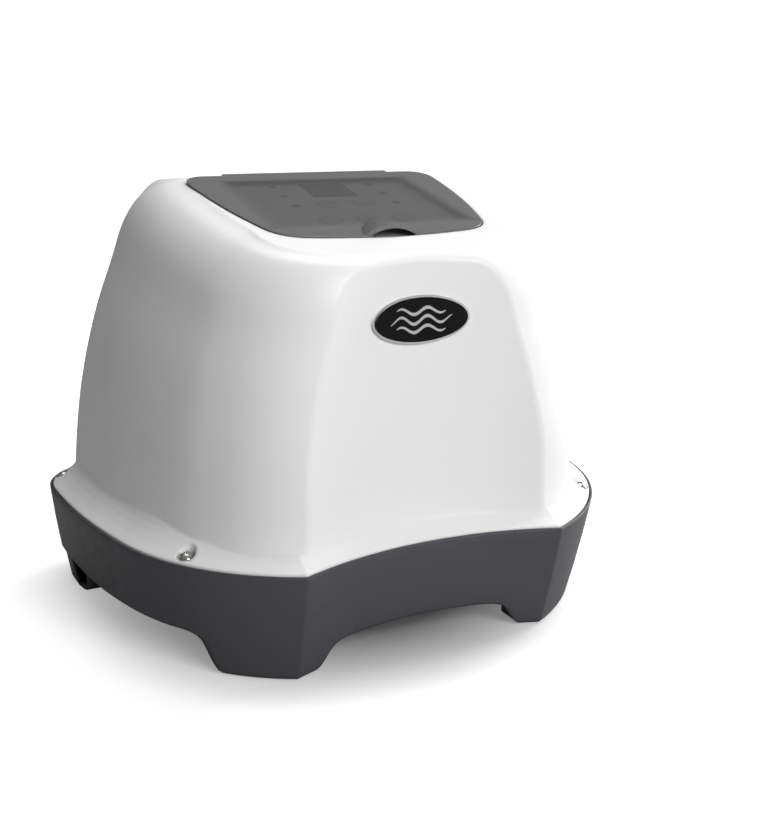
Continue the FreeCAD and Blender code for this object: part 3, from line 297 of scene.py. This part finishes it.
# a pale sweep: flat floor that curves up far behind
prof = [(-3.0, 0.0), (2.2, 0.0)]
for k in range(1, 13):
    a = math.radians(90.0 * k / 12)
    prof.append((2.2 + 1.2 * math.sin(a), 1.2 - 1.2 * math.cos(a)))
prof.append((3.4, 4.5))
hx, hy = 0.4476, 0.8942
rows = []
for s, z in prof:
    rows.append([bm.verts.new((hx * s + hy * w, hy * s - hx * w, z - 0.0001)) for w in (-5.0, 5.0)])
for a, b2 in zip(rows, rows[1:]):
    bm.faces.new((a[0], a[1], b2[1], b2[0]))
bm.normal_update()
bm.to_mesh(floor_me)
bm.free()
floor = bpy.data.objects.new("floor", floor_me)
scene.collection.objects.link(floor)
for p in floor_me.polygons:
    p.use_smooth = True
fm, nt, b = new_mat("floor_pale")
b.inputs["Base Color"].default_value = (0.34, 0.34, 0.34, 1)
b.inputs["Roughness"].default_value = 0.7
b.inputs["Specular IOR Level"].default_value = 0.15
# the sweep shows itself pale to camera rays through a painted glow, and throws less light back on the object
seen = node(nt, "ShaderNodeBsdfDiffuse")
seen.inputs["Color"].default_value = (0.80, 0.80, 0.80, 1)
glow = node(nt, "ShaderNodeEmission")
far = node(nt, "ShaderNodeVectorMath", operation="LENGTH")
nt.links.new(coords(nt), far.inputs[0])
reach = span(nt, far.outputs["Value"], 0.0, 1.3, 0.0, 1.0)
# painted contact shadow: near the object the glow and the seen colour are ramped down by distance from the origin,
# not cast by the lights
nt.links.new(ramp(nt, reach, ((0.055, (0.03, 0.03, 0.03)), (0.125, (FLOOR_GLOW,) * 3), (1.0, (0.85,) * 3))), glow.inputs["Strength"])
nt.links.new(ramp(nt, reach, ((0.055, (0.22,) * 3), (0.118, (0.80,) * 3))), seen.inputs["Color"])
both = node(nt, "ShaderNodeAddShader")
nt.links.new(seen.outputs[0], both.inputs[0])
nt.links.new(glow.outputs[0], both.inputs[1])
pick = node(nt, "ShaderNodeMixShader")
nt.links.new(node(nt, "ShaderNodeLightPath").outputs["Is Camera Ray"], pick.inputs[0])
nt.links.new(b.outputs[0], pick.inputs[1])
nt.links.new(both.outputs[0], pick.inputs[2])
nt.links.new(pick.outputs[0], nt.nodes["Material Output"].inputs["Surface"])
floor_me.materials.append(fm)

w = bpy.data.worlds.new("studio")
scene.world = w
w.use_nodes = True
bg = w.node_tree.nodes["Background"]
bg.inputs["Color"].default_value = (0.985, 0.99, 1.0, 1)
bg.inputs["Strength"].default_value = 0.19


def area(name, loc, target, size, power, color=(1, 1, 1), size_y=None):
    ld = bpy.data.lights.new(name, "AREA")
    ld.shape = "RECTANGLE" if size_y else "SQUARE"
    ld.size = size
    if size_y:
        ld.size_y = size_y
    ld.energy = power
    ld.color = color
    o = bpy.data.objects.new(name, ld)
    o.location = loc
    d = Vector(target) - Vector(loc)
    o.rotation_euler = d.to_track_quat("-Z", "Y").to_euler()
    scene.collection.objects.link(o)
    return o


area("front", (0.30, -1.85, 1.0), (0, 0, 0.12), 1.1, 28.5, (1.0, 0.995, 0.99), 0.9)
area("right", (1.65, 0.35, 0.9), (0, 0, 0.14), 1.2, 37.0, (1.0, 1.0, 1.0), 1.1)
area("top", (0.25, 0.45, 1.9), (0, 0, 0.1), 1.4, 17.0, (1.0, 1.0, 1.0), 1.2)

cam_d = bpy.data.cameras.new("camera")
cam_d.sensor_width = 36.0
cam_d.lens = 48.293
cam_d.clip_start = 0.01
cam = bpy.data.objects.new("camera", cam_d)
cam.location = (-0.2581, -0.5794, 0.2792)
cam.rotation_euler = (math.radians(90.0 - 15.034), 0.0, math.radians(-26.593))
scene.collection.objects.link(cam)
scene.camera = cam
scene.view_settings.view_transform = "Standard"
